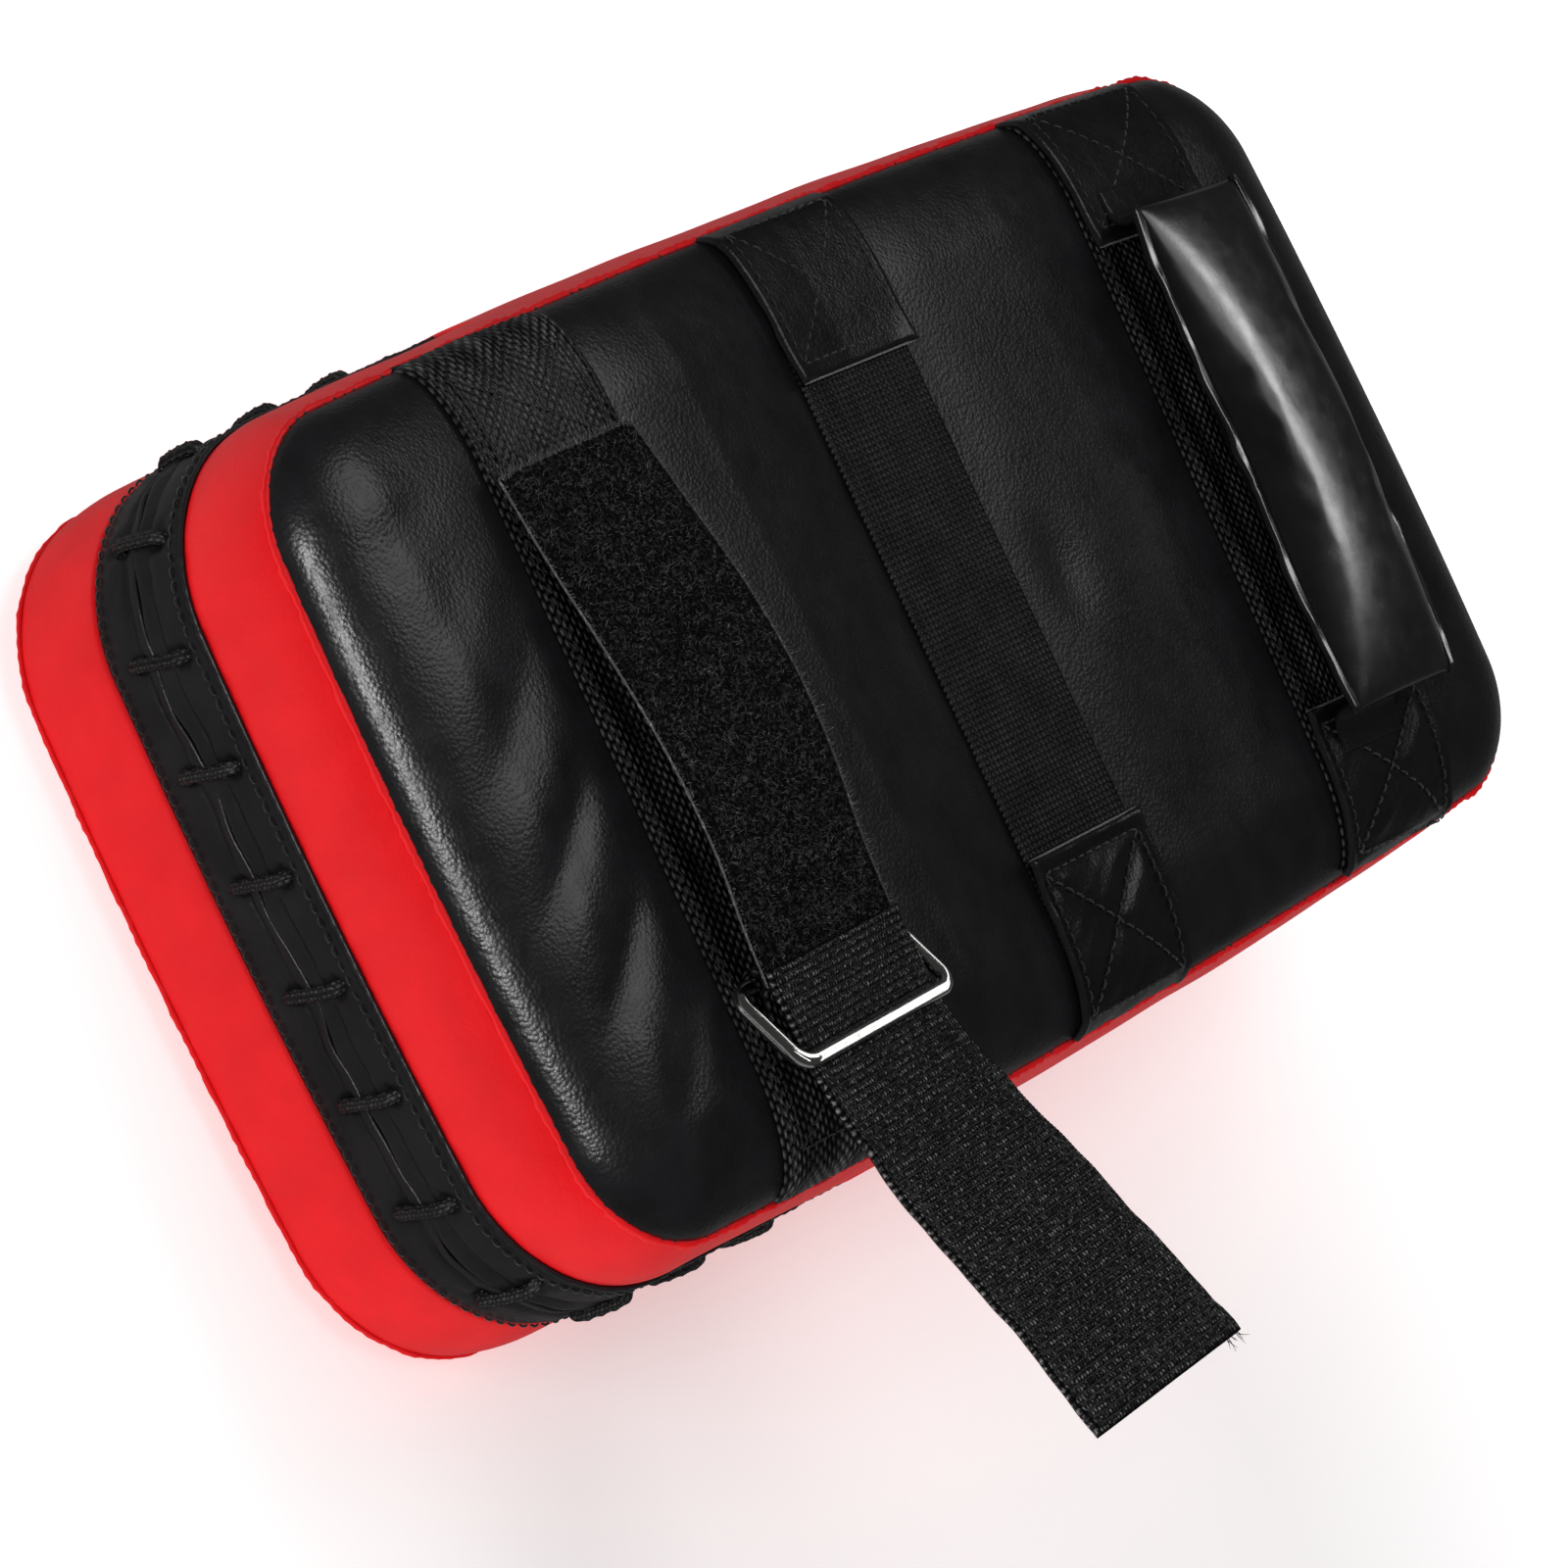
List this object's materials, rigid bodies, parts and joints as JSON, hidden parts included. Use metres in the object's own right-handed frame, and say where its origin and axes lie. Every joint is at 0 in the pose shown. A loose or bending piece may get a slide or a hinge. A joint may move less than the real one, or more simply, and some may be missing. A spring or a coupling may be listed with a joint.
{
  "type": "kick pad",
  "caption": "Curved-sided kick pad: crowned foam block in a laced leather case, with forearm straps, a wire ring and a padded grip on the back.",
  "frame": {"origin": "centre of the flat strike face, which is the resting plane", "axes": "+Z from the strike face towards the arm side with the straps, +Y towards the grip end, -Y towards the laced end, +X towards the ring and free tail"},
  "size_m": [0.2658, 0.3748, 0.1322],
  "materials": {
    "foam": "closed-cell foam, matt",
    "red_leather": "smooth red synthetic leather, satin",
    "black_leather": "black synthetic leather with a fine pebble grain, satin",
    "lace_leather": "black synthetic leather with folded edges, satin",
    "patch_leather": "smooth black synthetic leather, satin, dark stitching",
    "grip_leather": "smooth black synthetic leather, glossy",
    "lining": "plain black woven lining",
    "cord": "braided black cord",
    "webbing": "coarse basket-weave webbing",
    "loop_tape": "fuzzy loop pile with flat selvedges",
    "hook_tape": "ribbed hook-faced webbing",
    "elastic": "fine-ribbed elastic webbing",
    "ring_metal": "polished nickel plate"
  },
  "bodies": {
    "pad": {"foam_front": "foam", "foam_middle": "foam", "foam_back": "foam", "strike_panel": "red_leather", "back_panel": "black_leather", "side_band_front": "red_leather", "side_band_back": "red_leather", "side_band_far": "red_leather", "lace_strip_front": "lace_leather", "lace_strip_back": "lace_leather", "lace_tongue": "lining", "lace_cord": "cord", "strap_base_web": "webbing", "ring_anchor_loop": "webbing", "elastic_band": "elastic", "band_patch_left": "patch_leather", "band_patch_right": "patch_leather", "handle_base_web": "webbing", "handle_patch_left": "patch_leather", "handle_patch_right": "patch_leather"},
    "ring": {"strap_ring": "ring_metal"},
    "strap": {"loop_strap": "loop_tape", "hook_strap_root": "hook_tape"},
    "tail": {"hook_strap_tail": "hook_tape"},
    "handle": {"handle_cover": "grip_leather", "handle_foam": "foam", "handle_web": "webbing"}
  },
  "joints": [
    {"name": "strap_lift", "type": "hinge", "parent": "pad", "child": "strap", "pos_m": [-0.06, -0.105, 0.0975], "axis": [0, -1, 0], "range_deg": [0, 2.5]},
    {"name": "ring_swivel", "type": "hinge", "parent": "pad", "child": "ring", "pos_m": [0.0515, -0.106, 0.1002], "axis": [0, -1, 0], "range_deg": [0, 20]},
    {"name": "tail_fold", "type": "hinge", "parent": "strap", "child": "tail", "pos_m": [0.07, -0.105, 0.1095], "axis": [0, -1, 0], "range_deg": [-30, 165]},
    {"name": "handle_swing", "type": "hinge", "parent": "pad", "child": "handle", "pos_m": [0, 0.116, 0.0984], "axis": [0.9987, -0.0506, 0], "range_deg": [-18, 18]}
  ],
  "couplings": [
    {"joint": "ring_swivel", "follows": "strap_lift", "ratio": 8}
  ]
}
